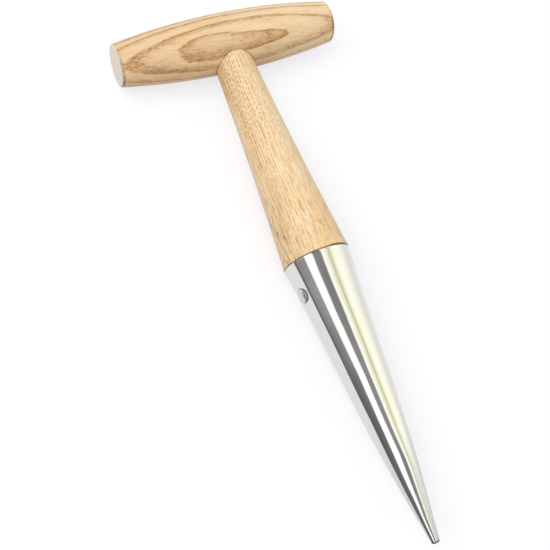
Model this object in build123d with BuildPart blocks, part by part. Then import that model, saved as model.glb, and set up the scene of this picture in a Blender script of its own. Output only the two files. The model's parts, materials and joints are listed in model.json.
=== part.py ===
from build123d import *
from math import asin, atan2, cos, hypot, radians, sin
import os

# A T-handled dibber: a barrel-shaped ash grip across the top of a tapered ash shaft, whose lower end
# sits in a hollow stainless steel point. It lies on a flat floor, on the rim of the steel's mouth and
# the belly of the grip, with the point towards -Y and +Z up. Lengths are in millimetres.

# Grip, turned as a barrel
grip_length = 117.0
grip_diameter = 30.6
grip_end_diameter = 21.3
grip_end_round = 1.0

# Shaft, with a shoulder that the steel butts against
shoulder_reach = 126.0  # from the grip's axis
neck_diameter = 20.2
shaft_hollow = 0.6  # how far its side curves in from a straight taper
shoulder_round = 0.4
mortise_cover = 8.5  # wood left in the grip beyond the shaft's end
tenon_chamfer = 1.0
spigot_length = 52.0
spigot_chamfer = 1.0

# Point, from its mouth down to its nose
point_length = 139.0
mouth_diameter = 33.4
mouth_flare = 7.5  # degrees that its side leans out at the mouth
flare_depth = 28.0
flare_diameter = 27.6
belly_depth = 69.5
belly_diameter = 21.0
tip_cone_length = 28.0  # the straight solid cone at the end
tip_cone_diameter = 11.9
nose_diameter = 3.8
nose_round = 1.3
wall = 1.2
rim_round = 0.25

# Rivet through the steel and the shaft's spigot
rivet_depth = 15.5  # below the mouth
rivet_turn = 12.0  # degrees round the shaft from the line of the grip
rivet_diameter = 4.0
rivet_head_diameter = 6.8
rivet_head_height = 1.5
rivet_head_edge = 0.5  # height of the head's upright rim

# Pin driven from the back of the grip across the shaft's tenon
pin_diameter = 2.5
pin_set = 0.6  # how far its end lies below the wood
pin_bite = 1.2  # how far it goes into the grip past the tenon
pin_chamfer = 0.3

# Fits, on the radius or at the end of a hole
glue_gap = 0.1
mortise_end_gap = 0.5
socket_gap = 0.1
rivet_gap = 0.05
pin_gap = 0.05

grip_radius = grip_diameter / 2
neck_radius = neck_diameter / 2
mouth_radius = mouth_diameter / 2
rivet_head_radius = rivet_head_diameter / 2

# Distances along the tool's axis, from the grip's axis towards the nose
mouth = shoulder_reach
tip_cone = mouth + point_length - tip_cone_length
nose = mouth + point_length
rivet_line = mouth + rivet_depth
tenon_end = mortise_cover + mortise_end_gap - grip_radius
pin_depth = grip_radius + neck_radius + pin_bite  # of its hole, from the back of the grip

# The tilt at which the mouth's rim and the grip's belly both touch the floor
rest_tilt = atan2(mouth_radius, mouth) - asin(grip_radius / hypot(mouth, mouth_radius))

across = Vector(1, 0, 0)  # along the grip
along = Vector(0, -cos(rest_tilt), sin(rest_tilt))  # down the shaft, to the nose
front = Vector(0, sin(rest_tilt), cos(rest_tilt))  # square to the shaft, away from the floor
grip_centre = Vector(0, (nose * cos(rest_tilt) - grip_radius) / 2, grip_radius)
rivet_centre = grip_centre + along * rivet_line
rivet_way = across * cos(radians(rivet_turn)) - front * sin(radians(rivet_turn))

# Half outlines of turned pieces lie on planes whose first direction is the radius and whose second
# runs along the piece's own axis
section = Plane(origin=grip_centre, x_dir=across, z_dir=along)
grip_outline = Plane(origin=grip_centre, x_dir=front, z_dir=front.cross(across))
grip_axis = Axis(grip_centre, across)
tool_outline = Plane(origin=grip_centre, x_dir=across, z_dir=across.cross(along))
tool_axis = Axis(grip_centre, along)
rivet_section = Plane(origin=rivet_centre, x_dir=along, z_dir=rivet_way)
rivet_outline = Plane(origin=rivet_centre, x_dir=along, z_dir=along.cross(rivet_way))
rivet_axis = Axis(rivet_centre, rivet_way)
grip_back = Plane(origin=grip_centre - front * grip_radius, x_dir=across, z_dir=-front)


def point_side(inset):
    """The point's side from its mouth to its tip cone, moved in towards the axis by inset."""
    lean = radians(mouth_flare)
    return Spline(
        (mouth_radius - inset, mouth),
        (flare_diameter / 2 - inset, mouth + flare_depth),
        (belly_diameter / 2 - inset, mouth + belly_depth),
        (tip_cone_diameter / 2 - inset, tip_cone),
        tangents=[(-sin(lean), cos(lean)), (nose_diameter / 2 - tip_cone_diameter / 2, tip_cone_length)],
        mode=Mode.PRIVATE,
    )


def point_body(outset):
    """Half outline of the point as if it were solid, moved out by outset."""
    with BuildSketch(tool_outline) as sketch:
        with BuildLine():
            side = add(point_side(-outset)).edge()
            Polyline(side @ 1, (nose_diameter / 2 + outset, nose), (0, nose), (0, mouth), side @ 0)
        make_face()
    return sketch.sketch


def socket_space(inset, depth):
    """Half outline of the space within the point's side, moved in by inset, down to a depth."""
    with BuildSketch(tool_outline) as sketch:
        with BuildLine():
            side = add(point_side(inset)).edge()
            Polyline(side @ 1, (0, tip_cone), (0, mouth), side @ 0)
        make_face()
        with Locations((0, mouth)):
            Rectangle(mouth_diameter, depth, align=Align.MIN, mode=Mode.INTERSECT)
    return sketch.sketch


def end_faces(piece):
    """The flat faces square to the tool's axis, from the grip towards the nose."""
    return piece.faces().filter_by(tool_axis).sort_by(tool_axis)


# Cross grip: a barrel with a blind mortise for the shaft and a blind hole for the pin
with BuildPart() as cross_grip:
    with BuildSketch(grip_outline):
        with BuildLine():
            left_edge = (grip_end_diameter / 2, -grip_length / 2)
            right_edge = (grip_end_diameter / 2, grip_length / 2)
            ThreePointArc(left_edge, (grip_radius, 0), right_edge)
            Polyline(right_edge, (0, grip_length / 2), (0, -grip_length / 2), left_edge)
        make_face()
    revolve(axis=grip_axis)
    fillet(cross_grip.faces().filter_by(grip_axis).edges(), grip_end_round)
    with Locations(section.offset(grip_radius)):
        Hole(neck_radius + glue_gap, depth=grip_diameter - mortise_cover)
    with Locations(grip_back):
        Hole(pin_diameter / 2 + pin_gap, depth=pin_depth)

# Shaft: tenon, hollow taper, shoulder, and the spigot that fills the mouth of the steel
with BuildPart() as shaft:
    with BuildSketch(tool_outline):
        with BuildLine():
            neck_edge = (neck_radius, grip_radius)
            shoulder_edge = (mouth_radius, mouth)
            side_middle = ((neck_radius + mouth_radius) / 2 - shaft_hollow, (grip_radius + mouth) / 2)
            ThreePointArc(neck_edge, side_middle, shoulder_edge)
            Polyline(shoulder_edge, (0, mouth), (0, tenon_end), (neck_radius, tenon_end), neck_edge)
        make_face()
    revolve(axis=tool_axis)
    revolve(socket_space(wall + socket_gap, spigot_length), axis=tool_axis)
    chamfer(end_faces(shaft)[0].edges(), tenon_chamfer)
    chamfer(end_faces(shaft)[-1].edges(), spigot_chamfer)
    fillet(end_faces(shaft)[1].edges().sort_by(SortBy.RADIUS)[-1], shoulder_round)
    with Locations(rivet_section):
        Hole(rivet_diameter / 2 + rivet_gap)
    with Locations(grip_back):
        Hole(pin_diameter / 2 + pin_gap, depth=pin_depth)

# Steel point: a tube drawn down to a solid blunt nose
with BuildPart() as steel_point:
    revolve(point_body(0), axis=tool_axis)
    revolve(socket_space(wall, point_length - tip_cone_length), axis=tool_axis, mode=Mode.SUBTRACT)
    fillet(end_faces(steel_point)[-1].edges(), nose_round)
    fillet(end_faces(steel_point)[0].edges().sort_by(SortBy.RADIUS)[-1], rim_round)
    with Locations(rivet_section):
        Hole(rivet_diameter / 2 + rivet_gap)

# Rivet: a shank through the socket, with a domed head bedded on the steel at each end
rivet_seat = point_side(0).find_intersection_points(Axis((0, rivet_line, 0), (1, 0, 0)))[0].X
with BuildPart() as socket_rivet:
    with BuildSketch(rivet_outline):
        with BuildLine():
            crown = (0, rivet_seat + rivet_head_height)
            rim = (rivet_head_radius, rivet_seat + rivet_head_edge)
            TangentArc(crown, rim, tangent=(1, 0))
            Polyline(rim, (rivet_head_radius, 0), (0, 0), crown)
        make_face()
    revolve(axis=rivet_axis)
    mirror(about=rivet_section)
    revolve(point_body(rivet_gap), axis=tool_axis, mode=Mode.SUBTRACT)
    with BuildSketch(rivet_section):
        Circle(rivet_diameter / 2)
    extrude(amount=rivet_seat + rivet_head_edge, both=True)

# Pin: headless, with its ends broken by a small chamfer
with BuildPart() as grip_pin:
    with BuildSketch(grip_back.offset(-pin_set)):
        Circle(pin_diameter / 2)
    extrude(amount=pin_set - pin_depth)
    chamfer(grip_pin.edges().filter_by(GeomType.CIRCLE), pin_chamfer)

cross_grip.part.label = "cross_grip"
shaft.part.label = "shaft"
steel_point.part.label = "steel_point"
socket_rivet.part.label = "socket_rivet"
grip_pin.part.label = "grip_pin"

os.makedirs("parts", exist_ok=True)
export_step(cross_grip.part, "parts/cross_grip.step")
export_step(shaft.part, "parts/shaft.step")
export_step(steel_point.part, "parts/steel_point.step")
export_step(socket_rivet.part, "parts/socket_rivet.step")
export_step(grip_pin.part, "parts/grip_pin.step")
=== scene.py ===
"""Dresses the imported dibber: an ash grip and shaft, and a polished steel point held by a rivet.

The file is laid out as an add-on and run as a script. Lengths are in metres, in the frame of the
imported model: +Z up from the floor, +X along the grip, and the point towards -Y.
"""

import json
import math

import bmesh
import bpy
import numpy as np
from bpy.props import FloatProperty, FloatVectorProperty, PointerProperty
from mathutils import Matrix, Vector


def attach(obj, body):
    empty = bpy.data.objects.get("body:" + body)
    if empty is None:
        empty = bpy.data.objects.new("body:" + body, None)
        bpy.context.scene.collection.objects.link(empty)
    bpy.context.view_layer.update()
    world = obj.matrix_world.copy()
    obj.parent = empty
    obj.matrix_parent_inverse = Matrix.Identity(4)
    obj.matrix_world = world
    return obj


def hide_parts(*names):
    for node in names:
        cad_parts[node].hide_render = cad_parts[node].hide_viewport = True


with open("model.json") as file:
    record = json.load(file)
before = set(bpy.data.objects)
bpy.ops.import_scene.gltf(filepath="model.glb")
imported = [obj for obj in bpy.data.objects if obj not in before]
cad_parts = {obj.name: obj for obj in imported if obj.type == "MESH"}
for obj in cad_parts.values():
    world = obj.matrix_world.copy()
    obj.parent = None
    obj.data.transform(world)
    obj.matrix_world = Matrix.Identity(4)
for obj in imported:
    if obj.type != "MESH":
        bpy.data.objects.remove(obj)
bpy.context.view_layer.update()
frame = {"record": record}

bl_info = {
    "name": "Dibber",
    "version": (1, 0, 0),
    "blender": (4, 5, 0),
    "location": "3D View > Sidebar > Dibber",
    "description": "Builds the looks of a T-shadowed dibber round its packed frame",
    "category": "Object",
}

# Places that the frame gives: the grip's middle and line, the way down the shaft and off the floor
MOUNTS = {mount["name"]: mount for mount in frame["record"]["mounts"]}
LEFT_END = np.array(MOUNTS["grip_left_end"]["pos_m"])
RIGHT_END = np.array(MOUNTS["grip_right_end"]["pos_m"])
GRIP_CENTRE = (LEFT_END + RIGHT_END) / 2
ACROSS = np.array(MOUNTS["grip_right_end"]["axis"])
ALONG = np.array(MOUNTS["soil_point"]["axis"])
FRONT = np.cross(ALONG, ACROSS)
NOSE_REACH = float((np.array(MOUNTS["soil_point"]["pos_m"]) - GRIP_CENTRE) @ ALONG)
GRIP_LENGTH = float((RIGHT_END - LEFT_END) @ ACROSS)
GRIP_DIAMETER = 2 * float(GRIP_CENTRE[2])

MM = 0.001
WOOD_RELIEF = 0.03 * MM
BODY = "root"


def setting(kind, **how):
    """Makes properties of one kind, each from its name, its description and its default."""

    def made(name, description, default):
        return kind(name=name, description=description, default=default, **how)

    return made


# What a user may change: lengths and places in metres, angles in radians, colours in linear light
length = setting(FloatProperty, min=0.0, unit="LENGTH", subtype="DISTANCE", precision=5)
angle = setting(FloatProperty, subtype="ANGLE")
colour = setting(FloatVectorProperty, size=3, min=0.0, max=2.0, subtype="COLOR")
amount = setting(FloatProperty, min=0.0, soft_max=4.0, subtype="FACTOR")
point = setting(FloatVectorProperty, size=3, subtype="TRANSLATION")
focal_length = setting(FloatProperty, subtype="DISTANCE_CAMERA")


class GripSizes(bpy.types.PropertyGroup):
    """Barrel turned from one billet, with a blind mortise for the shaft."""

    length: length("Length", "From end to end", GRIP_LENGTH)
    diameter: length("Diameter", "At the middle", GRIP_DIAMETER)
    end_diameter: length("End diameter", "Of the flat ends, before they are rounded", 21.3 * MM)
    end_round: length("End round", "Radius of the broken edge at each end", 1.0 * MM)
    mortise_gap: length("Mortise gap", "Between the shaft and its hole", 0.1 * MM)
    mortise_cover: length("Mortise cover", "Wood left behind the shaft's hole", 8.5 * MM)
    hole_round: length("Hole round", "Radius of the eased edge at the mouth of a hole", 0.25 * MM)


class ShaftSizes(bpy.types.PropertyGroup):
    """Tapered shaft with a tenon at one end and a spigot at the other."""

    neck_diameter: length("Neck diameter", "Where it enters the grip", 20.2 * MM)
    reach: length("Reach", "From the grip's axis to the shoulder", 126.0 * MM)
    hollow: length("Hollow", "How far its side curves in from a straight taper", 0.6 * MM)
    shoulder_round: length("Shoulder round", "Radius of the edge that meets the steel", 0.4 * MM)
    tenon_reach: length("Tenon reach", "How far it goes past the grip's axis", 6.3 * MM)
    tenon_chamfer: length("Tenon chamfer", "At the end inside the grip", 1.0 * MM)
    spigot_length: length("Spigot length", "How far it goes into the steel", 52.0 * MM)
    spigot_gap: length("Spigot gap", "Between the spigot and the steel", 0.1 * MM)


class PointSizes(bpy.types.PropertyGroup):
    """Hollow steel point, from its mouth down to its nose."""

    mouth_diameter: length("Mouth diameter", "Where it meets the shaft's shoulder", 33.4 * MM)
    mouth_flare: angle("Mouth flare", "How far its side leans out at the mouth", math.radians(7.5))
    flare_depth: length("Flare depth", "Below the mouth, where the flare ends", 28.0 * MM)
    flare_diameter: length("Flare diameter", "At the flare's depth", 27.6 * MM)
    belly_depth: length("Belly depth", "Below the mouth, at the middle of its side", 69.5 * MM)
    belly_diameter: length("Belly diameter", "At the belly's depth", 21.0 * MM)
    tip_length: length("Tip length", "Of the straight cone at its end", 28.0 * MM)
    tip_diameter: length("Tip diameter", "Where the straight cone starts", 11.9 * MM)
    nose_diameter: length("Nose diameter", "Of the blunt end, before it is rounded", 3.8 * MM)
    nose_round: length("Nose round", "Radius of the blunt end's edge", 1.3 * MM)
    wall: length("Wall", "Thickness of the steel", 1.2 * MM)
    rim_round: length("Rim round", "Radius of the mouth's outer edge", 0.25 * MM)


class RivetSizes(bpy.types.PropertyGroup):
    """Rivet through the steel and the spigot, with a low dome at each end."""

    depth: length("Depth", "Below the steel's mouth", 15.5 * MM)
    turn: angle("Turn", "Round the shaft, from the line of the grip", math.radians(12.0))
    diameter: length("Diameter", "Of its shank", 4.0 * MM)
    head_diameter: length("Head diameter", "Of each dome", 6.8 * MM)
    head_height: length("Head height", "From the steel to the crown", 1.5 * MM)
    head_edge: length("Head edge", "Height of the head's upright rim", 0.5 * MM)
    edge_round: length("Edge round", "Radius between the dome and its rim", 0.2 * MM)
    seat_gap: length("Seat gap", "Between the head and the steel", 0.05 * MM)


class PinSizes(bpy.types.PropertyGroup):
    """Headless pin driven from the back of the grip across the tenon."""

    diameter: length("Diameter", "Of the wire", 2.5 * MM)
    hole_gap: length("Hole gap", "Between the pin and its hole", 0.05 * MM)
    hole_depth: length("Hole depth", "Of the part of its hole that shows", 4.5 * MM)
    set_back: length("Set back", "How far its end lies below the wood", 0.6 * MM)
    bite: length("Bite", "How far it goes into the grip past the tenon", 1.2 * MM)
    chamfer: length("Chamfer", "At both ends", 0.3 * MM)


class WoodColours(bpy.types.PropertyGroup):
    """Colours of the two ash pieces."""

    grip_late: colour("Grip, pale wood", "Between the rings of the grip", (0.94, 0.69, 0.40))
    grip_early: colour("Grip, ring", "Of the porous bands in the grip", (0.52, 0.26, 0.08))
    shaft_late: colour("Shaft, pale wood", "Between the rings of the shaft", (1.0, 0.80, 0.50))
    shaft_early: colour("Shaft, ring", "Of the porous bands in the shaft", (0.66, 0.39, 0.16))
    grip_pore: colour("Grip, pores", "Of the open pores in the grip", (0.38, 0.185, 0.06))
    shaft_pore: colour("Shaft, pores", "Of the open pores in the shaft", (0.52, 0.26, 0.075))
    end_grain: colour("End grain", "Of the cut ends", (0.97, 0.88, 0.74))
    # Painted shade, for the groove where the shaft meets the steel.
    seam: colour("Seam", "Of the dark line against the steel", (0.07, 0.042, 0.027))
    # Painted shade, for the edges of the grip's ends on the side towards the point.
    edge_shade_colour: colour("Worn edges", "Of the handled edges at the ends of the grip", (0.21, 0.135, 0.045))


class SteelColours(bpy.types.PropertyGroup):
    """Colours of the steel pieces."""

    point: colour("Point", "Polished stainless steel", (0.80, 0.80, 0.79))
    rivet: colour("Rivet", "Pressed stainless steel", (0.74, 0.74, 0.75))
    pin: colour("Pin", "Drawn wire", (0.52, 0.51, 0.50))
    # Painted shade, for the mouth's rim, the line round the rivet heads and the nose.
    steel_shade: colour("Dirt", "In the corners and along the edges of the steel", (0.10, 0.092, 0.085))


class StudioSettings(bpy.types.PropertyGroup):
    """White sheet, soft lamp, room and camera."""

    eye: point("Eye", "Place of the camera", (-0.14678, -0.10050, 0.38415))
    aim: point("Aim", "Place that the camera looks at", (-0.02193, -0.00176, 0.01530))
    roll: angle("Roll", "Turn of the camera about its line of sight", math.radians(32.12))
    lens: focal_length("Lens", "Focal length in millimetres", 55.64)
    key_radiance: amount("Key", "Brightness of the soft lamp's face", 2.3)
    fill: amount("Fill", "Brightness of the light from all round", 0.66)
    sheet_edge: length("Sheet edge", "From the tool to the sheet's edge on its left", 0.165)


class DibberSettings(bpy.types.PropertyGroup):
    """All sizes, colours and studio values."""

    grip: PointerProperty(type=GripSizes)
    shaft: PointerProperty(type=ShaftSizes)
    point: PointerProperty(type=PointSizes)
    rivet: PointerProperty(type=RivetSizes)
    pin: PointerProperty(type=PinSizes)
    wood: PointerProperty(type=WoodColours)
    steel: PointerProperty(type=SteelColours)
    studio: PointerProperty(type=StudioSettings)


# Surfaces


def place(across, front, along):
    """Points by their distances from the grip's middle: along it, off the floor, down the shaft."""
    return (
        GRIP_CENTRE
        + np.multiply.outer(across, ACROSS)
        + np.multiply.outer(front, FRONT)
        + np.multiply.outer(along, ALONG)
    )


def full_turn(columns):
    """Equal angles all the way round."""
    return np.linspace(0, 2 * np.pi, columns, endpoint=False)


def arc(centre, radius, start, end, rows):
    """Points (radius, along) of an arc: its centre plus its radius times (cosine, sine)."""
    turn = np.linspace(start, end, rows)
    return np.column_stack([centre[0] + radius * np.cos(turn), centre[1] + radius * np.sin(turn)])


def arc_through(start, middle, end, rows):
    """Points of the arc through three points: its centre is equally far from all three."""
    start, middle, end = (np.array(corner, float) for corner in (start, middle, end))
    system = 2 * np.array([middle - start, end - start])
    squares = [middle @ middle - start @ start, end @ end - start @ start]
    centre = np.linalg.solve(system, squares)
    first, last = (np.arctan2(*(corner - centre)[::-1]) for corner in (start, end))
    last = first + (last - first + np.pi) % (2 * np.pi) - np.pi
    return arc(centre, np.hypot(*(start - centre)), first, last, rows)


def spin(profile, columns):
    """Surface of revolution: profile points (radius, along) are carried round the tool's axis."""
    radius, along = profile[:, 0, None], profile[:, 1, None]
    turn = full_turn(columns)
    return place(radius * np.sin(turn), radius * np.cos(turn), along + 0 * turn)


def grid_quads(rows, columns, first, closed):
    """Corner numbers of the quads of a grid of points, whose last column may join its first."""
    number = first + np.arange(rows * columns).reshape(rows, columns)
    if closed:
        number = np.hstack([number, number[:, :1]])
    corners = number[:-1, :-1], number[:-1, 1:], number[1:, 1:], number[1:, :-1]
    return np.stack(corners, axis=-1).reshape(-1, 4)


def add_object(name, data):
    """A new object in the scene, at the origin."""
    made = bpy.data.objects.new(name, data)
    bpy.context.scene.collection.objects.link(made)
    return made


def add_piece(name, grids, material, node):
    """Makes a closed mesh of grids, each with whether it closes on itself, attaches it to the body
    and hides the node that it stands for.

    Grids share their border points, and a grid's pole is a row of equal points: welding joins both.
    """
    points, quads, count = [], [], 0
    for grid, closed in grids:
        rows, columns = grid.shape[:2]
        points.append(grid.reshape(-1, 3))
        quads.append(grid_quads(rows, columns, count, closed))
        count += rows * columns
    points, quads = np.concatenate(points), np.concatenate(quads)

    mesh = bpy.data.meshes.new(name)
    mesh.vertices.add(len(points))
    mesh.vertices.foreach_set("co", points.ravel())
    mesh.loops.add(quads.size)
    mesh.loops.foreach_set("vertex_index", quads.ravel())
    mesh.polygons.add(len(quads))
    mesh.polygons.foreach_set("loop_start", np.arange(0, quads.size, 4))
    mesh.update(calc_edges=True)

    weld_distance, sharp_angle = 0.001 * MM, math.radians(50)
    solid = bmesh.new()
    solid.from_mesh(mesh)
    bmesh.ops.remove_doubles(solid, verts=solid.verts, dist=weld_distance)
    bmesh.ops.recalc_face_normals(solid, faces=solid.faces)
    solid.to_mesh(mesh)
    solid.free()
    mesh.shade_smooth()
    mesh.set_sharp_from_angle(angle=sharp_angle)
    mesh.materials.append(material)

    piece = add_object(name, mesh)
    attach(piece, BODY)
    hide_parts(node)


# Grip


def barrel_bow(grip):
    """Radius of the arc along the barrel's side, through its middle and both ends."""
    sag = (grip.diameter - grip.end_diameter) / 2
    return (grip.length**2 / 4 + sag**2) / (2 * sag)


def barrel_radius(across, grip):
    """Radius of the barrel at a distance along it: an arc whose top is at the middle."""
    bow = barrel_bow(grip)
    return np.sqrt(bow**2 - across**2) - bow + grip.diameter / 2


def on_barrel(across, turn, grip):
    """Points of the barrel's side, by the distance along it and the turn from shaft to front."""
    radius = barrel_radius(across, grip)
    return place(across, radius * np.sin(turn), radius * np.cos(turn))


def barrel_end(grip, inner, side_rows, round_rows, face_rows):
    """Profile (along the grip, radius) from inner out to the edge, round it and in to the pole.

    The edge is an arc tangent to the side's arc and to the flat end.
    """
    bow, edge = barrel_bow(grip), grip.end_round
    bow_centre = grip.diameter / 2 - bow
    edge_across = grip.length / 2 - edge
    edge_radius = bow_centre + math.sqrt((bow - edge) ** 2 - edge_across**2)
    lean = math.atan2(edge_across, edge_radius - bow_centre)
    side = np.linspace(inner, bow * math.sin(lean), side_rows)
    bend = np.linspace(lean, math.pi / 2, round_rows)[1:]
    face = np.linspace(edge_radius, 0, face_rows)[1:]
    flat = np.full(face_rows - 1, grip.length / 2)
    across = np.r_[side, edge_across + edge * np.sin(bend), flat]
    return across, np.r_[barrel_radius(side, grip), edge_radius + edge * np.cos(bend), face]


def holed_patch(grip, facing, half_turn, half_length, hole_radius, floor, cells):
    """A patch of the barrel with a round hole facing one way.

    Columns go round the hole. Rows go from the patch's border in to the hole, over its eased edge,
    down its wall and across its floor. On the side the border and the hole's circle are blended in
    (along the grip, turn), and rows crowd towards the hole.
    """
    long_cells, turn_cells = cells
    surface_rows, edge_rows, wall_rows, floor_rows = 14, 5, 12, 5
    crowding = 1.6
    ease = grip.hole_round

    steps = np.linspace(-1, 1, long_cells + 1)[:-1]
    climb = np.linspace(-1, 1, turn_cells + 1)[:-1]
    border_across = half_length * np.r_[steps, np.ones(turn_cells), -steps, -np.ones(turn_cells)]
    border_turn = half_turn * np.r_[-np.ones(long_cells), climb, np.ones(long_cells), -climb]
    bearing = np.arctan2(border_turn / half_turn, border_across / half_length)

    def side_height(radius):
        across, offset = radius * np.cos(bearing), radius * np.sin(bearing)
        return np.sqrt(barrel_radius(across, grip) ** 2 - offset**2)

    mouth = hole_radius + ease
    mouth_across = mouth * np.cos(bearing)
    mouth_turn = np.arcsin(mouth * np.sin(bearing) / barrel_radius(mouth_across, grip))
    share = np.linspace(1, 0, surface_rows)[:, None] ** crowding
    across = mouth_across + share * (border_across - mouth_across)
    turn = mouth_turn + share * (border_turn - mouth_turn)
    surface = on_barrel(across, facing + turn, grip)

    bend = np.linspace(np.pi / 2, 0, edge_rows)[1:, None]
    edge_radius = hole_radius + ease * (1 - np.cos(bend))
    edge_height = side_height(edge_radius) - ease * (1 - np.sin(bend))
    sink = np.linspace(0, 1, wall_rows)[1:, None]
    wall_radius = np.full((wall_rows - 1, 1), hole_radius)
    wall_height = edge_height[-1] + sink * (floor - edge_height[-1])
    shrink = np.linspace(1, 0, floor_rows)[1:, None]
    floor_height = np.full((floor_rows - 1, len(bearing)), floor)
    radius = np.concatenate([edge_radius, wall_radius, hole_radius * shrink])
    height = np.concatenate([edge_height, wall_height, floor_height])
    across, offset = radius * np.cos(bearing), radius * np.sin(bearing)
    inside = place(
        across,
        height * math.sin(facing) + offset * math.cos(facing),
        height * math.cos(facing) - offset * math.sin(facing),
    )
    return np.concatenate([surface, inside])


def grip_grids(grip, shaft, pin):
    """Grids of the grip: both ends, a patch round each hole, and the wood between the patches."""
    cell = math.radians(3)
    patch_length, patch_cells = 14 * MM, 28
    mortise_cells, pin_cells, near_cells, far_cells = 40, 10, 5, 65
    mortise_facing, pin_facing = 0.0, -math.pi / 2
    mortise_half, pin_half = mortise_cells / 2 * cell, pin_cells / 2 * cell

    grids = []
    turn = mortise_half + full_turn(mortise_cells + pin_cells + near_cells + far_cells)
    for side in (-1, 1):
        across, radius = barrel_end(grip, patch_length, side_rows=60, round_rows=9, face_rows=9)
        across, radius = side * across[:, None] + 0 * turn, radius[:, None]
        grids.append((place(across, radius * np.sin(turn), radius * np.cos(turn)), True))

    across = np.linspace(-patch_length, patch_length, patch_cells + 1)[:, None]
    for start, cells in ((mortise_half, far_cells), (pin_facing + pin_half, near_cells)):
        strip = start + cell * np.arange(cells + 1)
        grids.append((on_barrel(across + 0 * strip, strip + 0 * across, grip), False))

    mortise = shaft.neck_diameter / 2 + grip.mortise_gap
    mortise_floor = grip.mortise_cover - grip.diameter / 2
    pin_hole = pin.diameter / 2 + pin.hole_gap
    pin_floor = grip.diameter / 2 - pin.hole_depth
    for facing, half, radius, floor, cells in (
        (mortise_facing, mortise_half, mortise, mortise_floor, mortise_cells),
        (pin_facing, pin_half, pin_hole, pin_floor, pin_cells),
    ):
        patch = holed_patch(grip, facing, half, patch_length, radius, floor, (patch_cells, cells))
        grids.append((patch, True))
    return grids


# Shaft, point, rivet and pin


def side_curve(depth, knots, radii, first_slope, last_slope):
    """Cubic spline through (knots, radii) with a given slope at each end, at every depth.

    A tridiagonal system gives the inner slopes that keep its curvature continuous.
    """
    step = np.diff(knots)
    rise = np.diff(radii) / step
    middle = np.r_[1, 2 * (step[:-1] + step[1:]), 1]
    system = np.diag(middle) + np.diag(np.r_[0, step[:-1]], 1) + np.diag(np.r_[step[1:], 0], -1)
    slope = np.linalg.solve(
        system, np.r_[first_slope, 3 * (step[1:] * rise[:-1] + step[:-1] * rise[1:]), last_slope]
    )
    at = np.clip(np.searchsorted(knots, depth) - 1, 0, len(step) - 1)
    share = (depth - knots[at]) / step[at]
    near, far = (1 - share) ** 2, share**2
    return (
        near * ((1 + 2 * share) * radii[at] + share * step[at] * slope[at])
        + far * ((3 - 2 * share) * radii[at + 1] - (1 - share) * step[at] * slope[at + 1])
    )


def point_radius(depth, sizes):
    """Radius of the point's outside at a depth below its mouth: a spline, then a straight cone."""
    tip_depth = NOSE_REACH - bpy.context.scene.dibber.shaft.reach - sizes.tip_length
    flare = -math.tan(sizes.mouth_flare)
    taper = (sizes.nose_diameter - sizes.tip_diameter) / 2 / sizes.tip_length
    knots = np.array([0, sizes.flare_depth, sizes.belly_depth, tip_depth])
    diameters = sizes.mouth_diameter, sizes.flare_diameter, sizes.belly_diameter, sizes.tip_diameter
    radii = np.array(diameters) / 2
    side = side_curve(np.clip(depth, 0, tip_depth), knots, radii, flare, taper)
    return side + np.maximum(depth - tip_depth, 0) * taper


def shaft_profile(shaft, grip, sizes):
    """Profile (radius, along) from the tenon's end over taper and shoulder to the spigot's end."""
    taper_rows, edge_rows, spigot_rows = 160, 7, 40
    neck, mouth = shaft.neck_diameter / 2, sizes.mouth_diameter / 2
    collar, shoulder = grip.diameter / 2, shaft.reach
    middle = (neck + mouth) / 2 - shaft.hollow, (collar + shoulder) / 2
    taper = arc_through((neck, collar), middle, (mouth, shoulder), taper_rows)
    edge = shaft.shoulder_round
    taper = taper[taper[:, 1] < shoulder - edge]
    depth = np.linspace(0, shaft.spigot_length, spigot_rows)
    spigot = point_radius(depth, sizes) - sizes.wall - shaft.spigot_gap
    return np.concatenate([
        [(0, -shaft.tenon_reach), (neck - shaft.tenon_chamfer, -shaft.tenon_reach)],
        [(neck, -shaft.tenon_reach + shaft.tenon_chamfer)],
        taper,
        arc((taper[-1, 0] - edge, shoulder - edge), edge, 0, np.pi / 2, edge_rows),
        np.column_stack([spigot, shoulder + depth]),
        [(0, shoulder + shaft.spigot_length)],
    ])


def point_profile(sizes, mouth):
    """Profile (radius, along) from the nose up outside, over the rim and down to the solid tip."""
    nose_rows, side_rows, rim_rows, inside_rows = 14, 260, 7, 60
    edge, rim = sizes.nose_round, sizes.rim_round
    taper = (sizes.tip_diameter - sizes.nose_diameter) / 2 / sizes.tip_length
    lean = math.atan(taper)
    edge_radius = sizes.nose_diameter / 2 + taper * edge - edge / math.cos(lean)
    nose = arc((edge_radius, NOSE_REACH - edge), edge, np.pi / 2, lean, nose_rows)
    tip_depth = NOSE_REACH - mouth - sizes.tip_length
    depth = np.linspace(nose[-1, 1] - mouth, rim, side_rows)[1:]
    inside = np.linspace(0, tip_depth, inside_rows)
    return np.concatenate([
        [(0, NOSE_REACH)],
        nose,
        np.column_stack([point_radius(depth, sizes), mouth + depth]),
        arc((point_radius(rim, sizes) - rim, mouth + rim), rim, 0, -np.pi / 2, rim_rows)[1:],
        np.column_stack([point_radius(inside, sizes) - sizes.wall, mouth + inside]),
        [(0, mouth + tip_depth)],
    ])


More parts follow.
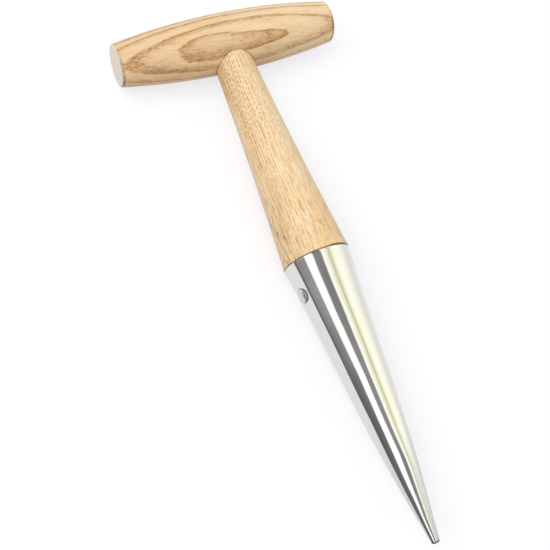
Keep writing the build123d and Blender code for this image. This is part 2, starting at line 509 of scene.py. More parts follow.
def rivet_grid(rivet, sizes, mouth, columns):
    """Grid of the rivet: columns go round its axis, rows from crown to crown over its shank.

    The dome is a sphere's cap. Under the head, rows lie a seat gap off the point's outside.
    """
    dome_rows, edge_rows, under_rows = 16, 7, 6
    line = mouth + rivet.depth
    shank, head, edge = rivet.diameter / 2, rivet.head_diameter / 2, rivet.edge_round
    seat = float(point_radius(rivet.depth, sizes))
    turn = full_turn(columns)
    dome_drop = rivet.head_height - rivet.head_edge
    ball = (head**2 + dome_drop**2) / (2 * dome_drop)
    lean = math.asin((head - edge) / (ball - edge))

    def on_point(radius):
        outside = point_radius(rivet.depth + radius * np.cos(turn), sizes) + rivet.seat_gap
        return np.sqrt(outside**2 - (radius * np.sin(turn)) ** 2)

    crown = seat + rivet.head_height
    climb = np.linspace(0, lean, dome_rows)[:, None]
    bend = np.linspace(lean, np.pi / 2, edge_rows)[1:, None]
    edge_height = crown - ball + (ball - edge) * math.cos(lean)
    under = np.linspace(head, shank, under_rows)[:, None]
    radius = np.concatenate([ball * np.sin(climb), head - edge + edge * np.sin(bend), under])
    height = np.concatenate([
        crown - ball + ball * np.cos(climb) + 0 * turn,
        edge_height + edge * np.cos(bend) + 0 * turn,
        on_point(under),
    ])
    radius = np.concatenate([radius, radius[::-1]])
    height = np.concatenate([height, -height[::-1]])
    offset = radius * np.sin(turn)
    return place(
        height * math.cos(rivet.turn) + offset * math.sin(rivet.turn),
        offset * math.cos(rivet.turn) - height * math.sin(rivet.turn),
        line + radius * np.cos(turn),
    )


def pin_grid(pin, grip, shaft, columns):
    """Grid of the pin: a cylinder across the grip, with a chamfer and a pole at each end."""
    radius, cut = pin.diameter / 2, pin.chamfer
    back, tip = pin.set_back - grip.diameter / 2, shaft.neck_diameter / 2 + pin.bite
    turn = full_turn(columns)
    ring = np.array([0, radius - cut, radius, radius, radius - cut, 0])[:, None]
    front = np.array([back, back, back + cut, tip - cut, tip, tip])[:, None]
    return place(ring * np.sin(turn), front + 0 * turn, ring * np.cos(turn))


# Materials


def operation(kind, swapped=False):
    """A method that adds a Math node of one kind, with the wire first or, if swapped, second."""

    def method(self, other=0.0):
        first, second = (other, self) if swapped else (self, other)
        return self.math(kind, first, second)

    return method


class Wire:
    """A socket in a node tree. Arithmetic on it adds Math nodes, and node() adds any other kind."""

    def __init__(self, tree, socket=None):
        self.tree = tree
        self.socket = socket

    def node(self, kind, settings=None, sockets=None, output=0):
        """Adds a node. Settings come first, then each socket's value or link, by name or number."""
        made = self.tree.nodes.new(kind)
        for key, value in (settings or {}).items():
            if key == "stops":
                self.set_stops(made.color_ramp, value)
            else:
                setattr(made, key, value)
        for key, value in (sockets or {}).items():
            socket = made.inputs[key]
            if isinstance(value, Wire):
                self.tree.links.new(value.socket, socket)
            elif socket.type == "RGBA":
                socket.default_value = (*value[:3], 1.0)
            else:
                socket.default_value = value
        return Wire(self.tree, made.outputs[output])

    @staticmethod
    def set_stops(ramp, stops):
        """Gives a ramp its stops, each a place and a grey level or a colour."""
        while len(ramp.elements) < len(stops):
            ramp.elements.new(0.5)
        for element, (position, value) in zip(ramp.elements, stops):
            parts = value if isinstance(value, tuple) else (value, value, value)
            element.position = position
            element.color = (*parts, 1.0)

    def out(self, output):
        """Another output of the same node."""
        return Wire(self.tree, self.socket.node.outputs[output])

    def math(self, kind, first, second=0.0):
        """Any operation of the Math node."""
        return self.node("ShaderNodeMath", {"operation": kind}, {0: first, 1: second})

    __add__ = operation("ADD")
    __radd__ = operation("ADD", swapped=True)
    __sub__ = operation("SUBTRACT")
    __rsub__ = operation("SUBTRACT", swapped=True)
    __mul__ = operation("MULTIPLY")
    __rmul__ = operation("MULTIPLY", swapped=True)
    __truediv__ = operation("DIVIDE")
    __pow__ = operation("POWER")
    __abs__ = operation("ABSOLUTE")
    larger = operation("MAXIMUM")
    smaller = operation("MINIMUM")
    whole = operation("FLOOR")
    fraction = operation("FRACT")

    def step(self, low, high):
        """Rises smoothly from 0 at low to 1 at high, or falls where high is the smaller."""
        return self.node(
            "ShaderNodeMapRange",
            {"interpolation_type": "SMOOTHSTEP"},
            {"Value": self, "From Min": low, "From Max": high},
        )

    def clamped(self):
        """This value, kept from 0 to 1."""
        return self.node("ShaderNodeClamp", sockets={0: self})

    def ramp(self, stops):
        """Looks this value up in a ramp."""
        return self.node("ShaderNodeValToRGB", {"stops": stops}, {"Fac": self})

    def mix(self, first, second, blend="MIX"):
        """A colour between first and second, where this value is the share of the second."""
        settings = {"data_type": "RGBA", "blend_type": blend}
        return self.node("ShaderNodeMix", settings, {0: self, 6: first, 7: second}, output=2)

    def times(self, other):
        """This colour or vector times another, part by part."""
        return self.node("ShaderNodeVectorMath", {"operation": "MULTIPLY"}, {0: self, 1: other})

    def split(self):
        """This vector's first part. Its out(1) and out(2) are the others."""
        return self.node("ShaderNodeSeparateXYZ", sockets={0: self})

    def off_axis(self):
        """How far this vector reaches off its first axis."""
        parts = self.split()
        return (parts.out(1) ** 2.0 + parts.out(2) ** 2.0) ** 0.5

    def stretched(self, sizes):
        """This vector divided by sizes, so that a pattern of unit cells takes those sizes."""
        return self.times(tuple(1 / size for size in sizes))

    def noise(self, sizes, detail=1.0, roughness=0.5):
        """Smooth noise about 0, within a half each way, in cells of the given sizes."""
        cells = self.stretched(sizes)
        made = self.node(
            "ShaderNodeTexNoise",
            {"noise_dimensions": "3D"},
            {"Vector": cells, "Scale": 1.0, "Detail": detail, "Roughness": roughness},
        )
        return made - 0.5

    def specks(self, sizes):
        """Distance to the nearest of scattered points, one to each cell of the given sizes."""
        return self.node(
            "ShaderNodeTexVoronoi",
            {"voronoi_dimensions": "3D", "feature": "F1"},
            {"Vector": self.stretched(sizes), "Scale": 1.0},
            output="Distance",
        )

    def chance(self):
        """A number from 0 to 1 that differs from one value of this wire to the next."""
        settings = {"noise_dimensions": "1D"}
        return self.node("ShaderNodeTexWhiteNoise", settings, {"W": self}, output="Value")


def scaled(colour_parts, share):
    """A colour times a number."""
    return tuple(share * part for part in colour_parts)


def new_material(name):
    """A node material: its start for new nodes, and its principled shader."""
    material = bpy.data.materials.new(name)
    material.use_nodes = True
    return material, Wire(material.node_tree), material.node_tree.nodes["Principled BSDF"]


def grain_place(start, centre, grain, outward):
    """Position in millimetres on a piece's own axes: along its grain, sideways and outward."""
    sideways = np.cross(outward, grain)
    axes = Matrix(np.column_stack([grain, sideways, outward]).tolist())
    sockets = {
        "Vector": start.node("ShaderNodeTexCoord", output="Object"),
        "Location": tuple(centre),
        "Rotation": axes.to_euler(),
        "Scale": (MM, MM, MM),
    }
    return start.node("ShaderNodeMapping", {"vector_type": "TEXTURE"}, sockets)


def tool_place(start):
    """Position in millimetres on the tool's axes: down the shaft, across, and off the floor."""
    return grain_place(start, GRIP_CENTRE, ALONG, FRONT)


def feed(principled, base_color, roughness, height, bump_distance):
    """Links what varies over a surface to its shader. The height, times its distance, is a bump."""
    sockets = {"Strength": 1.0, "Distance": bump_distance, "Height": height}
    bump = height.node("ShaderNodeBump", sockets=sockets)
    for name, wire in (("Base Color", base_color), ("Roughness", roughness), ("Normal", bump)):
        wire.tree.links.new(wire.socket, principled.inputs[name])


def varnished(principled, wood, roughness, height):
    """Feeds wood to its shader, under a thin even varnish."""
    feed(principled, wood, roughness, height, WOOD_RELIEF)
    principled.inputs["Coat Weight"].default_value = 0.15
    principled.inputs["Coat Roughness"].default_value = 0.3


def polished(principled, steel, roughness, height):
    """Feeds bare metal to its shader."""
    feed(principled, steel, roughness, height, MM)
    principled.inputs["Metallic"].default_value = 1.0


def ring_height(place_mm, pith, bow, waver):
    """How far out a point lies on the tree's growth layers, in millimetres.

    The layers are shells round a pith that lies that far inside the piece, and dip by bow times the
    square of the distance along the grain. Noise of two sizes, of the amounts in waver, makes them
    uneven.
    """
    grain = place_mm.split()
    sideways, outward = grain.out(1), grain.out(2)
    shell = (sideways * sideways + (outward + pith) ** 2.0) ** 0.5 - pith
    long_wave = place_mm.noise((60, 14, 14)) * waver[0]
    short_wave = place_mm.noise((5, 1.8, 1.8), detail=2.0) * waver[1]
    return shell + grain * grain * bow + long_wave + short_wave


def porous_band(place_mm, rings, broad, band_stops, uneven):
    """How porous the wood is, where rings counts its growth layers inwards.

    A band is fullest at its layer's inner end, stops just past it, and fades outwards over the
    share of the layer that broad gives, as band_stops say. Layers differ by the share in uneven.
    """
    stop_share, patchiness = 0.12, 0.7
    phase = rings.fraction()
    fading = ((1.0 - phase) / broad).ramp(band_stops)
    stopping = phase.step(stop_share, 0.0) * band_stops[0][1]
    patch = place_mm.noise((22, 5, 5))
    strength = 1.0 - uneven + rings.whole().chance() * uneven + patch * patchiness
    return fading.larger(stopping) * strength


def ash_wood(place_mm, rings, band, colours, fibre_cells, tones, pores, pore_share, pore_weight):
    """Ash: pale wood, brown porous bands, a figure that follows the layers, fibres and open pores.

    colours are those of the pale wood, the bands and the pores. tones are the tone of plain wood,
    and what bands and fibres add. pores is where pores may lie, pore_share of them show where there
    is no band, and pore_weight is how dark they are. Gives its colour, roughness, fibres and pores.
    """
    figure_length, figure_width, figures_per_layer = 20, 12, 3.0
    late, early, pore = (tuple(part) for part in colours)
    grain = place_mm.split()
    in_layers = {
        0: grain * (1 / figure_length),
        1: grain.out(1) * (1 / figure_width),
        2: rings * figures_per_layer,
    }
    figure = place_mm.node("ShaderNodeCombineXYZ", sockets=in_layers).noise((1, 1, 1), detail=3.0)
    fibre = place_mm.noise(fibre_cells, detail=4.0, roughness=0.65)
    cloud = place_mm.noise((45, 6, 6), detail=2.0)
    streaks = figure * (0.35 + band * 0.8) + fibre * (tones[2] + band * 0.9)
    tone = (tones[0] + band * tones[1] + streaks + cloud * 0.3).clamped()
    ring_line = (band + fibre * 0.6).step(0.75, 1.1)

    gate = place_mm.noise((7, 1.8, 1.8))
    shown = (band * band * 4.0 + gate * 1.2 + pore_share).clamped()
    pores = pores * shown
    wood = (ring_line * 0.5).mix(tone.mix(late, early), pore)
    roughness = 0.42 + fibre * 0.12 + pores * 0.15
    return (pores * pore_weight).mix(wood, pore), roughness, fibre, pores


def grip_ash(grip, shaft, colours):
    """Ash cut along its growth layers, so that they close in an eye on the front of the barrel.

    The eye has a dark outline, a paler inside and soft tips. Bands are broad towards the point, and
    narrow on the other side and at the right end, where the wood is paler too. Painted light makes
    the wood a little darker towards the left end and lighter towards the right. It is paler on its
    cut ends. Painted shade darkens it in the joint with the shaft, and in places along the edges of
    the cut ends on the side towards the point.
    """
    material, start, principled = new_material("grip_ash")
    eye_turn = math.radians(37)
    outward = math.sin(eye_turn) * ALONG + math.cos(eye_turn) * FRONT
    place_mm = grain_place(start, GRIP_CENTRE, ACROSS, outward)
    across = place_mm.split()
    sideways = across.out(1)
    crown, half = grip.diameter / 2 / MM, grip.length / 2 / MM
    neck = shaft.neck_diameter / 2 / MM

    twist, right_rise = 0.0005, 0.33
    below = crown - ring_height(place_mm, pith=10.5, bow=0.00075, waver=(0.8, 0.25))
    below = below + across * sideways * sideways * twist * below.step(1.4, 0.5)
    below = below - right_rise * across.step(36.0, 62.0)
    first_ring, ring_width, widening = 0.43, 1.52, 0.82
    depth = (below - first_ring) / ring_width
    rings = depth.larger(0.0) ** widening + depth.smaller(0.0)

    in_eye = depth.step(0.0, -0.02)
    to_right = across.step(-12.0, 10.0)
    to_point = sideways.step(5.0, -6.0)
    right_end = across.step(22.0, 42.0)
    eye_broad = to_right * 0.12 + across.step(-18.0, -25.0) * 0.24 - 0.40
    broad = 0.50 + 0.45 * to_point + in_eye * eye_broad - 0.28 * right_end
    band_stops = [(0.0, 1.0), (0.08, 0.95), (0.25, 0.70), (0.50, 0.35), (0.80, 0.10), (1.0, 0.0)]
    weaker = sideways.step(0.0, -5.0) * (0.22 - in_eye * 0.32)
    tips = across.step(-18.0, -24.0) + across.step(18.0, 25.0)
    stronger = in_eye * (0.12 + to_right * 0.10 - tips * 0.26)
    band = porous_band(place_mm, rings, broad, band_stops, uneven=0.28) * (1.0 - weaker) + stronger
    wood, roughness, fibre, pores = ash_wood(
        place_mm, rings, band, (colours.grip_late, colours.grip_early, colours.grip_pore),
        fibre_cells=(20, 0.7, 0.7), tones=(0.12, 0.85, 0.9),
        pores=place_mm.specks((4.0, 0.7, 0.7)).step(0.42, 0.26), pore_share=0.08, pore_weight=0.8,
    )
    # Painted light: the wood is painted a little darker towards the left end and lighter towards
    # the right, as if the right were lit more.
    painted_light_share = across.step(-45.0, 45.0)
    wood = wood.times(painted_light_share.mix((0.97, 0.95, 0.95), (1.05, 1.09, 1.12)))

    from_middle = abs(across)
    ends = from_middle.step(half - 0.8, half - 0.1)
    mottle = place_mm.noise((1.5, 1.5, 1.5), detail=3.0)
    end_tone = (0.10 + band * 0.6 + mottle * 1.8).clamped()
    cut = end_tone.mix(colours.end_grain, scaled(colours.end_grain, 0.68))
    tool_mm = tool_place(start)
    along = tool_mm.split()
    from_axis = tool_mm.off_axis() + fibre * 0.8
    # Painted shade: the wood round the shaft's hole is painted darker, for the shade in the joint.
    joint = from_axis.step(neck + 0.7, neck + 0.2) * along.step(0.0, 5.0)
    wood = (joint * 0.45).mix(ends.mix(wood, cut), colours.grip_pore)
    # Painted shade: dark patches painted along the edges of the cut ends, on the side towards the
    # point.
    edge = from_middle.step(half - 2.0, half - 1.1) * from_middle.step(half - 0.05, half - 0.3)
    shade_patches = (0.75 + place_mm.noise((3, 3, 3), detail=2.0) * 2.0).clamped()
    edge_shade = edge * along.step(-2.0, 6.0) * shade_patches
    wood = (edge_shade * 0.85).mix(wood, colours.edge_shade_colour)
    varnished(principled, wood, roughness + ends * 0.2, fibre * 0.3 - pores - band * 0.2)
    return material


def shaft_ash(shaft, colours):
    """Ash whose growth layers stand across the front of the shaft, so that it shows straight lines.

    Near the grip these are rows of short dashes, which fade into streaks towards the steel, with
    soft flecks at the sides. The left is warmer near the neck. Low down there are a flush on the
    right and short dark lines on the left. Painted shade makes a dark seam against the steel.
    """
    material, start, principled = new_material("shaft_ash")
    ring_turn = math.radians(70)
    outward = math.sin(ring_turn) * ACROSS + math.cos(ring_turn) * FRONT
    place_mm = grain_place(start, GRIP_CENTRE, ALONG, outward)
    along = place_mm.split()
    height = ring_height(place_mm, pith=55.0, bow=0.0, waver=(1.2, 0.2))
    low = along.step(40.0, 80.0)
    by_steel = along.step(80.0, 106.0)

    ring_width, outermost, mean_band = 1.8, 40.0, 0.28
    uneven = place_mm.noise((300, 4, 4)) * 2.0
    rings = (outermost - height + uneven) / ring_width
    band_stops = [(0.0, 0.75), (0.25, 0.60), (0.58, 0.42), (0.74, 0.0), (0.88, 0.0), (1.0, 0.4)]
    band = porous_band(place_mm, rings, 1.0, band_stops, uneven=0.5)
    in_front = height.step(-6.0, -3.0) * height.step(7.0, 3.5)
    lined = 0.25 + in_front * 0.75 + height.step(-7.0, -9.0) * 0.5
    band = mean_band + (band - mean_band) * lined

    row_width, dash_length = 1.25, 3.3
    row = along.out(2) / row_width + place_mm.noise((30, 9, 9)) * 0.8
    dash = along / dash_length + row.whole().chance() * 9.0
    dash = dash + place_mm.noise((7, 2, 2)) * 1.8
    in_line = abs(row.fraction() - 0.5).step(0.26, 0.12)
    in_dash = abs(dash.fraction() - 0.5).step(0.40, 0.24)
    in_rows = height.step(-9.0, -6.0) * height.step(6.0, 3.0)
    flecks = place_mm.specks((2.4, 1.1, 1.1)).step(0.48, 0.22)
    wood, roughness, fibre, pores = ash_wood(
        place_mm, rings, band, (colours.shaft_late, colours.shaft_early, colours.shaft_pore),
        fibre_cells=(11, 0.65, 0.65), tones=(low * 0.05 - 0.04, 0.55, low + 2.7),
        pores=in_line * in_dash * in_rows + flecks * (1.0 - in_rows) * 0.7,
        pore_share=0.75 - lined * 0.20,
        pore_weight=(0.85 - low * 0.50) * (1.0 - height.step(1.0, 7.0) * 0.4),
    )

    blotched = (height + place_mm.noise((30, 8, 8)) * 5.0) / 24.0 + 0.5
    warmth = blotched.ramp([
        (0.08, 1.0), (0.19, 0.75), (0.31, 0.45), (0.45, 0.38), (0.59, 0.0), (0.73, 0.04),
        (0.85, 0.08),
    ])
    paler = along.step(26.0, 46.0) * height.step(-4.0, -10.0)
    wood = (warmth * (1.0 - paler * 0.70)).mix(wood, (0.78, 0.66, 0.55), "MULTIPLY")
    flush = place_mm.noise((24, 8, 8), detail=2.0) + by_steel * height.step(-3.0, 8.0) * 0.22
    wood = (flush.step(0.02, 0.26) * 0.7).mix(wood, (0.98, 0.85, 0.70), "MULTIPLY")
    lines = place_mm.noise((10, 0.7, 0.7)).step(0.07, 0.15) * height.step(-6.0, -8.0)
    lines = lines * (by_steel * 0.6 + 0.4)
    wood = (lines * 0.8).mix(wood, scaled(colours.shaft_pore, 0.75))
    # Painted shade: a dark line painted along the groove where the wood meets the steel, broader
    # and darker on the right.
    shoulder = shaft.reach / MM
    on_right = height.step(7.0, 12.0)
    seam = (along + on_right * 0.4).step(shoulder - 0.65, shoulder - 0.35)
    wood = (seam * (0.70 + on_right * 0.2)).mix(wood, colours.seam)
    varnished(principled, wood, roughness, fibre * 0.3 - pores * 0.5 - band * 0.1)
    return material


def steel_finish(place_mm, bright, base_roughness):
    """Steel polished round its length: fine marks that change quickly along it and slowly round it.

    Gives its colour, its roughness and the height of the marks in millimetres.
    """
    mark_height = 0.0008
    marks = place_mm.noise((0.3, 9, 9), detail=3.0, roughness=0.65)
    speckle = place_mm.noise((0.9, 0.9, 0.9), detail=2.0)
    tint = (0.6 + marks * 0.9 + speckle * 0.9).clamped()
    roughness = base_roughness + marks * 0.05 + speckle * 0.04
    return tint.mix(scaled(bright, 0.87), bright), roughness, marks * mark_height


def from_rivet(start, rivet, mouth):
    """Distance from the rivet's axis, in millimetres."""
    centre = place(0.0, 0.0, mouth + rivet.depth)
    axis = math.cos(rivet.turn) * ACROSS - math.sin(rivet.turn) * FRONT
    return grain_place(start, centre, axis, ALONG).off_axis()


def point_polish(colours, rivet, mouth):
    """Bright polished steel, a little uneven, so that reflected edges aren't quite straight.

    Painted shade darkens the lip of its mouth, the line round the rivet's heads and the end of the
    nose.
    """
    material, start, principled = new_material("point_polish")
    place_mm = tool_place(start)
    along = place_mm.split()
    steel, roughness, marks = steel_finish(place_mm, colours.point, 0.08)
    lip_end, nose_end = mouth / MM, NOSE_REACH / MM
    # Painted shade on the rim of the mouth and on a line round each rivet head.
    lip = along.step(lip_end + 0.35, lip_end + 0.1)
    head = rivet.head_diameter / 2 / MM
    rivet_line_shade = from_rivet(start, rivet, mouth).step(head + 0.5, head + 0.15)
    steel = (lip * 0.5).larger(rivet_line_shade * 0.75).mix(steel, colours.steel_shade)
    # Painted shade at the end of the nose.
    nose = along.step(nose_end - 1.8, nose_end - 0.6)
    steel = (nose * 0.45).mix(steel, colours.steel_shade)
    swell = place_mm.noise((22, 11, 11))
    polished(principled, steel, roughness, swell * 0.10 + marks)
    return material


def rivet_polish(colours, rivet, mouth):
    """Pressed steel, duller than the point, with shade painted round the edge of each head."""
    material, start, principled = new_material("rivet_polish")
    steel, roughness, marks = steel_finish(tool_place(start), colours.rivet, 0.30)
    head = rivet.head_diameter / 2 / MM
    # Painted shade round the edge of each head.
    edge = from_rivet(start, rivet, mouth).step(head - 0.5, head)
    polished(principled, (edge * 0.5).mix(steel, colours.steel_shade), roughness, marks)
    return material


def pin_wire(colours):
    """Plain drawn wire."""
    material, start, principled = new_material("pin_wire")
    polished(principled, *steel_finish(tool_place(start), colours.pin, 0.32))
    return material


# Studio


def room_light(studio):
    """The world: white to the camera, soft light on the object, and to polished steel a lit room.

    The room's strips run along the tool and bend a little. From the left they are a dark wall, a
    white strip, a dark gap and a broad cream strip with a dimmer line in it. Angles go round the
    tool's line, from straight up towards the right.
    """
    world = bpy.data.worlds.new("room")
    world.use_nodes = True
    start = Wire(world.node_tree)
    way = start.node("ShaderNodeTexCoord", output="Generated").split()
    nearest, reach = 0.08, 0.48
    forward = (nearest - way.out(1)) / reach
    turn = way.math("ARCTAN2", way, way.out(2)) * (180 / math.pi)

    def past(edge_stops):
        """Degrees past an edge of a strip, which stands at other angles further forward."""
        spread = 200
        stops = [(where, 0.5 + degrees / spread) for where, degrees in edge_stops]
        return turn - (forward.ramp(stops) - 0.5) * spread

    past_wall = past([
        (0.08, -57), (0.24, -51), (0.45, -52), (0.70, -57), (0.79, -58), (0.82, -62), (0.86, -69)
    ])
    past_white = past([
        (0.08, -30.5), (0.14, -26.8), (0.18, -26.3), (0.24, -23.3), (0.31, -23.2),
        (0.45, -21), (0.62, -15), (0.76, -20), (0.82, -28), (0.86, -41),
    ])
    past_gap = past([
        (0.08, -1.2), (0.13, 2.4), (0.21, 0.2), (0.40, 1), (0.50, 4),
        (0.61, 12), (0.72, 12), (0.78, 8), (0.83, -2), (0.87, -9),
    ])

    wall_light = forward.ramp([
        (0.02, 0.56), (0.06, 0.41), (0.12, 0.31), (0.16, 0.325), (0.25, 0.24), (0.34, 0.225),
        (0.40, 0.20),
    ])
    gap_light = forward.ramp([
        (0.07, 0.25), (0.12, 0.295), (0.20, 0.34), (0.30, 0.32), (0.52, 0.315), (0.60, 0.28),
        (0.70, 0.255),
    ])
    wall = past_wall.step(-45.0, 0.0).mix((0.6, 0.6, 0.58), (1.0, 0.99, 0.98)).times(wall_light)
    white, gap = (1.35, 1.35, 1.36), gap_light.times((1.0, 1.0, 0.97))
    cream_stops = (
        (2, (1.36, 1.35, 1.26)),
        (11, (1.27, 1.23, 1.00)),
        (20, (1.06, 1.04, 0.76)),
        (27, (0.68, 0.69, 0.45)),
        (34, (1.06, 1.05, 0.79)),
        (43, (1.32, 1.30, 1.04)),
        (62, (1.30, 1.29, 1.10)),
        (80, (1.10, 1.10, 0.97)),
        (95, (0.98, 0.98, 0.94)),
    )
    widest = 100
    in_cream = past_gap / forward.ramp([(0.60, 1.0), (0.75, 0.78)])
    cream = (in_cream / widest).ramp([(degrees / widest, value) for degrees, value in cream_stops])
    fading = forward.ramp([(0.40, 1.0), (0.62, 0.65), (0.78, 0.60), (0.86, 0.25)])
    cream = cream.node("ShaderNodeHueSaturation", sockets={"Saturation": fading, "Color": cream})
    dimmed = cream.times(forward.ramp([(0.42, 1.0), (0.62, 0.77), (0.70, 0.72), (0.80, 0.60)]))
    cream = in_cream.step(30.0, 44.0).mix(cream, dimmed)
    room = past_wall.step(-2.0, 2.0).mix(wall, white)
    room = past_white.step(-1.5, 1.5).mix(room, gap)
    room = past_gap.step(-2.5, 2.5).mix(room, cream)
    seen = start.node("ShaderNodeLightPath", output="Is Camera Ray")
    glossy = seen.out("Is Glossy Ray").larger(seen.out("Is Transmission Ray"))
    fill = scaled((1.0, 0.99, 1.0), studio.fill)
    light = seen.mix(glossy.mix(fill, room), (1.0, 1.0, 1.0))
    background = world.node_tree.nodes["Background"]
    world.node_tree.links.new(light.socket, background.inputs["Color"])
    bpy.context.scene.world = world


def sheet_material(studio):
    """White sheet: it lights the object, and to the camera it is nearly white with a faint shadow.

    Polished steel sees the sheet's edge on the left, a slanting corner, and the dark table beyond.
    """
    material = bpy.data.materials.new("white_sheet")
    material.use_nodes = True
    tree = material.node_tree
    tree.nodes.remove(tree.nodes["Principled BSDF"])
    start = Wire(tree)
    seen = start.node("ShaderNodeLightPath", output="Is Camera Ray")
    glossy = seen.out("Is Glossy Ray")
    across = start.node("ShaderNodeTexCoord", output="Object").split()
    away = across.out(1)

    def shader(kind, *inputs):
        """A shader node and its first inputs."""
        return start.node(kind, sockets=dict(enumerate(inputs)))

    black, soft = (0.0, 0.0, 0.0), 1 * MM
    corner_left, corner_near, slant = 0.13, 0.11, 3.1
    corner = across + corner_left + (away + corner_near) * slant
    side_edge = across.step(-studio.sheet_edge, -studio.sheet_edge - soft)
    beyond = side_edge.larger(corner.step(0.0, -soft)) * glossy
    bounce = glossy.mix((0.55, 0.55, 0.55), (0.42, 0.42, 0.42))
    right = across.step(0.0, 20 * MM).mix((0.56, 0.56, 0.565), (0.58, 0.57, 0.535))
    bright = away.step(-0.13, -0.08).mix((0.44, 0.44, 0.44), right)
    sheen = shader("ShaderNodeEmission", glossy.mix(black, bright))
    paper = shader("ShaderNodeAddShader", shader("ShaderNodeBsdfDiffuse", bounce), sheen)
    table = shader("ShaderNodeEmission", (0.17, 0.17, 0.165))
    plain = shader("ShaderNodeMixShader", beyond, paper, table)

    by_grip = away.step(0.03, 0.10)
    far = ((across ** 2.0 + away ** 2.0) ** 0.5).step(0.20, 0.40)
    shadow = far.mix(by_grip.mix((0.54, 0.54, 0.44), (0.34, 0.34, 0.28)), black)
    white = far.mix(by_grip.mix((0.515, 0.515, 0.61), (0.70, 0.70, 0.76)), (1.0, 1.0, 1.0))
    shaded, glow = shader("ShaderNodeBsdfDiffuse", shadow), shader("ShaderNodeEmission", white)
    lifted = shader("ShaderNodeAddShader", shaded, glow)
    result = shader("ShaderNodeMixShader", seen, plain, lifted)
    tree.links.new(result.socket, tree.nodes["Material Output"].inputs["Surface"])
    return material


def add_sheet(studio):
    """A flat square sheet on the floor, far wider than the view."""
    half = 4.0
    corners = half * np.array([[-1, -1, 0], [1, -1, 0], [1, 1, 0], [-1, 1, 0]])
    mesh = bpy.data.meshes.new("sheet")
    mesh.from_pydata(corners.tolist(), [], [(0, 1, 2, 3)])
    mesh.materials.append(sheet_material(studio))
    sheet = add_object("sheet", mesh)


def add_key(studio):
    """A soft square lamp overhead, to the left and behind. Its face's brightness sets its power."""
    side, distance, way = 0.7, 0.9, Vector((-0.50, 0.16, 0.85))
    lamp = bpy.data.lights.new("key", "AREA")
    lamp.size = side
    lamp.energy = studio.key_radiance * math.pi * side**2
    key = add_object("key", lamp)
    key.location = distance * way.normalized()
    key.rotation_euler = way.to_track_quat("Z", "Y").to_euler()
    key.visible_glossy = False


def add_camera(studio):
    """The camera at the photograph's place, looking at its aim and turned about that line."""
    lens = bpy.data.cameras.new("camera")
    lens.lens = studio.lens
    lens.clip_start = 10 * MM
    camera = add_object("camera", lens)
    sight = (Vector(studio.aim) - Vector(studio.eye)).to_track_quat("-Z", "Y").to_matrix()
    turned = sight @ Matrix.Rotation(studio.roll, 3, "Z")
    camera.matrix_world = Matrix.Translation(studio.eye) @ turned.to_4x4()
    bpy.context.scene.camera = camera


# Operators, panel and registration


class DIBBER_OT_cross_grip(bpy.types.Operator):
    """Build the ash grip with its mortise and pin hole"""

    bl_idname = "dibber.cross_grip"
    bl_label = "Cross grip"

    def execute(self, context):
        dibber = context.scene.dibber
        grids = grip_grids(dibber.grip, dibber.shaft, dibber.pin)
        wood = grip_ash(dibber.grip, dibber.shaft, dibber.wood)
        add_piece("ash_grip", grids, wood, "cross_grip")
        return {"FINISHED"}


class DIBBER_OT_shaft(bpy.types.Operator):
    """Build the tapered ash shaft with its tenon and spigot"""

    bl_idname = "dibber.shaft"
    bl_label = "Shaft"

    def execute(self, context):
        dibber = context.scene.dibber
        grid = spin(shaft_profile(dibber.shaft, dibber.grip, dibber.point), columns=144)
        wood = shaft_ash(dibber.shaft, dibber.wood)
        add_piece("ash_shaft", [(grid, True)], wood, "shaft")
        return {"FINISHED"}


class DIBBER_OT_steel_point(bpy.types.Operator):
    """Build the hollow polished steel point"""

    bl_idname = "dibber.steel_point"
    bl_label = "Steel point"

    def execute(self, context):
        dibber = context.scene.dibber
        grid = spin(point_profile(dibber.point, dibber.shaft.reach), columns=192)
        steel = point_polish(dibber.steel, dibber.rivet, dibber.shaft.reach)
        add_piece("polished_point", [(grid, True)], steel, "steel_point")
        return {"FINISHED"}


class DIBBER_OT_socket_rivet(bpy.types.Operator):
    """Build the rivet with its two domed heads"""

    bl_idname = "dibber.socket_rivet"
    bl_label = "Socket rivet"

    def execute(self, context):
        dibber = context.scene.dibber
        grid = rivet_grid(dibber.rivet, dibber.point, dibber.shaft.reach, columns=72)
        steel = rivet_polish(dibber.steel, dibber.rivet, dibber.shaft.reach)
        add_piece("domed_rivet", [(grid, True)], steel, "socket_rivet")
        return {"FINISHED"}


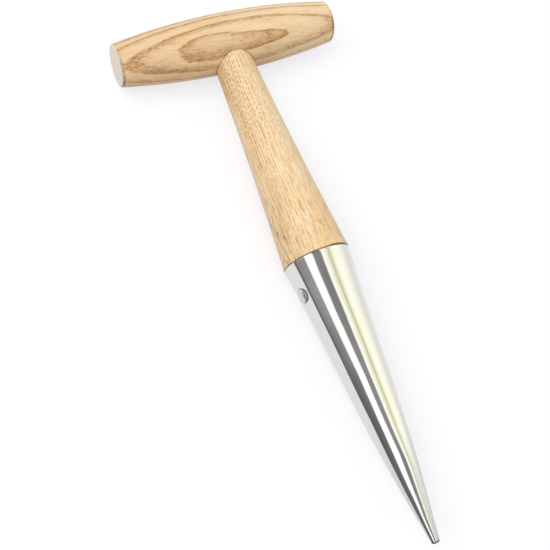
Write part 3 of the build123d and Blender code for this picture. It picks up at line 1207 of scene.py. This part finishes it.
class DIBBER_OT_grip_pin(bpy.types.Operator):
    """Build the pin that locks the tenon in the grip"""

    bl_idname = "dibber.grip_pin"
    bl_label = "Grip pin"

    def execute(self, context):
        dibber = context.scene.dibber
        grid = pin_grid(dibber.pin, dibber.grip, dibber.shaft, columns=48)
        add_piece("locking_pin", [(grid, True)], pin_wire(dibber.steel), "grip_pin")
        return {"FINISHED"}


class DIBBER_OT_stage(bpy.types.Operator):
    """Set the white sheet, the soft light and the camera"""

    bl_idname = "dibber.stage"
    bl_label = "Stage"

    def execute(self, context):
        studio = context.scene.dibber.studio
        context.scene.view_settings.view_transform = "Standard"
        room_light(studio)
        add_sheet(studio)
        add_key(studio)
        add_camera(studio)
        return {"FINISHED"}


class DIBBER_PT_build(bpy.types.Panel):
    """Sizes, colours and build steps of the dibber"""

    bl_label = "Dibber"
    bl_idname = "DIBBER_PT_build"
    bl_space_type = "VIEW_3D"
    bl_region_type = "UI"
    bl_category = "Dibber"

    def draw(self, context):
        for operator in OPERATORS:
            self.layout.operator(operator.bl_idname)
        dibber = context.scene.dibber
        sizes = dibber.grip, dibber.shaft, dibber.point, dibber.rivet, dibber.pin
        for group in (*sizes, dibber.wood, dibber.steel, dibber.studio):
            box = self.layout.box()
            for key in group.bl_rna.properties.keys():
                if key not in ("rna_type", "name"):
                    box.prop(group, key)


OPERATORS = (
    DIBBER_OT_cross_grip,
    DIBBER_OT_shaft,
    DIBBER_OT_steel_point,
    DIBBER_OT_socket_rivet,
    DIBBER_OT_grip_pin,
    DIBBER_OT_stage,
)
SIZES = (GripSizes, ShaftSizes, PointSizes, RivetSizes, PinSizes)
LOOKS = (WoodColours, SteelColours, StudioSettings)
CLASSES = (*SIZES, *LOOKS, DibberSettings, *OPERATORS, DIBBER_PT_build)


def register():
    for item in CLASSES:
        bpy.utils.register_class(item)
    bpy.types.Scene.dibber = PointerProperty(type=DibberSettings)


def unregister():
    del bpy.types.Scene.dibber
    for item in reversed(CLASSES):
        bpy.utils.unregister_class(item)


def main():
    register()
    bpy.ops.dibber.cross_grip()
    bpy.ops.dibber.shaft()
    bpy.ops.dibber.steel_point()
    bpy.ops.dibber.socket_rivet()
    bpy.ops.dibber.grip_pin()
    bpy.ops.dibber.stage()


if __name__ == "__main__":
    main()
